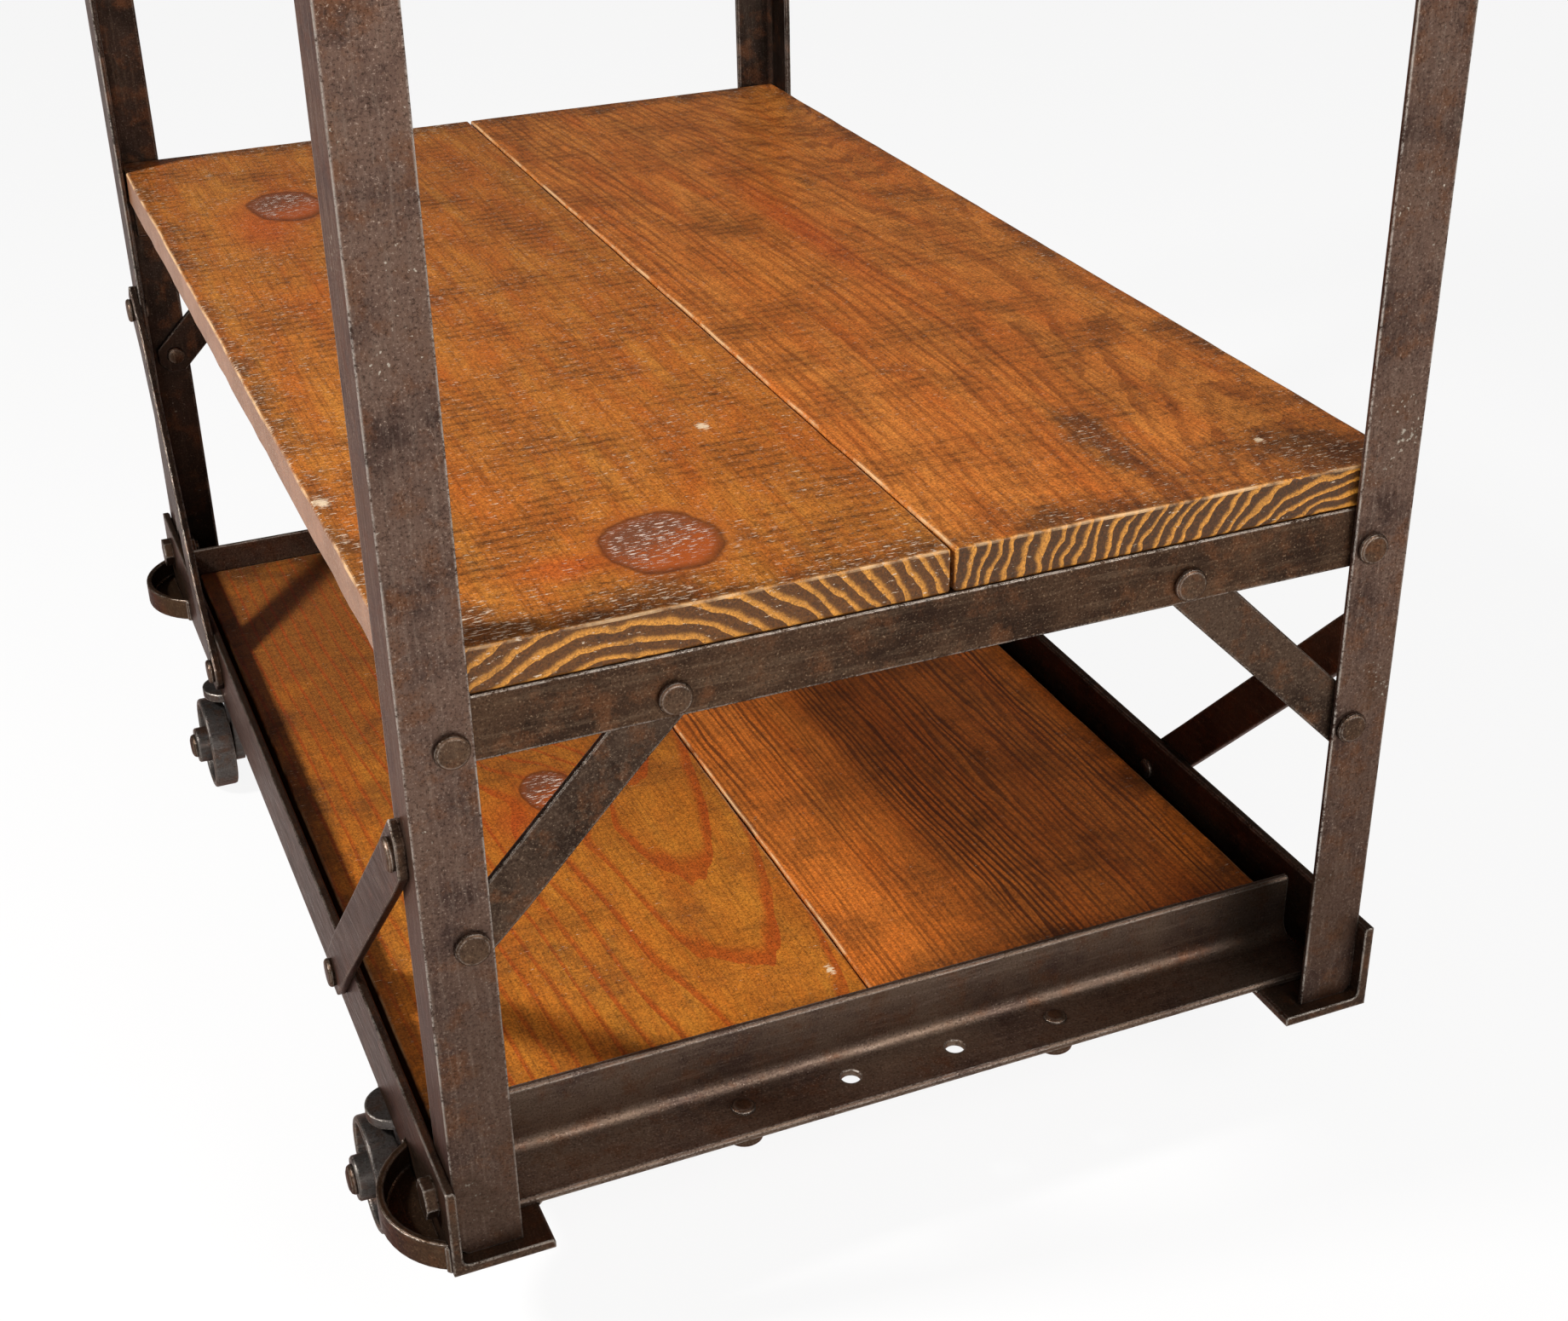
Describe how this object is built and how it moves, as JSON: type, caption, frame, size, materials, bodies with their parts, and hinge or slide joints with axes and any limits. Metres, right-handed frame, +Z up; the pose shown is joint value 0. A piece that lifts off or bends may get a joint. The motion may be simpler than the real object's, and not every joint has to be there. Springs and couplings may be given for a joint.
{
  "type": "mobile storage rack",
  "caption": "Angle-iron storage rack on fixed cast wheels, with plank decks carried on riveted and braced end rails and half-round pockets at the corners of its base.",
  "frame": {"origin": "on the floor under the middle of the rack", "axes": "+Z up, +X to the right across the rack, +Y from the front end towards the rear end"},
  "size_m": [0.8962, 1.304, 1.2558],
  "materials": {
    "frame_iron": "dark brown patina on rolled steel, worn bright on the edges",
    "bracket_iron": "dark cast surface",
    "wheel_iron": "cast iron, tread rubbed grey",
    "fastener_iron": "dark steel with rubbed rims",
    "plank_wood": "amber stained softwood, clear gloss coat"
  },
  "bodies": {
    "frame": {"axle_nuts": "fastener_iron", "axles": "fastener_iron", "base_rail_left": "frame_iron", "base_rail_right": "frame_iron", "base_sill_front": "frame_iron", "base_sill_rear": "frame_iron", "brace_rivets": "fastener_iron", "bracket_welds": "frame_iron", "corner_pockets": "frame_iron", "deck_bearer_front": "frame_iron", "deck_bearer_rear": "frame_iron", "deck_board_left": "plank_wood", "deck_board_right": "plank_wood", "end_brace_front_left": "frame_iron", "end_brace_front_right": "frame_iron", "end_brace_rear_left": "frame_iron", "end_brace_rear_right": "frame_iron", "pocket_welds": "frame_iron", "post_bolts": "fastener_iron", "post_front_left": "frame_iron", "post_front_right": "frame_iron", "post_nuts": "fastener_iron", "post_rear_left": "frame_iron", "post_rear_right": "frame_iron", "shelf_board_left": "plank_wood", "shelf_board_right": "plank_wood", "shelf_rail_front": "frame_iron", "shelf_rail_rear": "frame_iron", "shelf_rivets": "fastener_iron", "side_brace_front_left": "frame_iron", "side_brace_front_right": "frame_iron", "side_brace_rear_left": "frame_iron", "side_brace_rear_right": "frame_iron", "sill_rivets": "fastener_iron", "sill_washers": "fastener_iron", "sill_welds": "frame_iron", "thrust_washers": "fastener_iron", "top_board_left": "plank_wood", "top_board_right": "plank_wood", "top_rail_front": "frame_iron", "top_rail_rear": "frame_iron", "top_rivets": "fastener_iron", "wheel_brackets": "bracket_iron"},
    "wheel_front_left": {"wheel_front_left": "wheel_iron"},
    "wheel_front_right": {"wheel_front_right": "wheel_iron"},
    "wheel_rear_left": {"wheel_rear_left": "wheel_iron"},
    "wheel_rear_right": {"wheel_rear_right": "wheel_iron"}
  },
  "joints": [
    {"name": "wheel_front_left_spin", "type": "hinge", "parent": "frame", "child": "wheel_front_left", "pos_m": [-0.425, -0.435, 0.0508], "axis": [1, 0, 0], "continuous": true},
    {"name": "wheel_front_right_spin", "type": "hinge", "parent": "frame", "child": "wheel_front_right", "pos_m": [0.425, -0.435, 0.0508], "axis": [1, 0, 0], "continuous": true},
    {"name": "wheel_rear_left_spin", "type": "hinge", "parent": "frame", "child": "wheel_rear_left", "pos_m": [-0.425, 0.34, 0.0508], "axis": [1, 0, 0], "continuous": true},
    {"name": "wheel_rear_right_spin", "type": "hinge", "parent": "frame", "child": "wheel_rear_right", "pos_m": [0.425, 0.34, 0.0508], "axis": [1, 0, 0], "continuous": true}
  ]
}
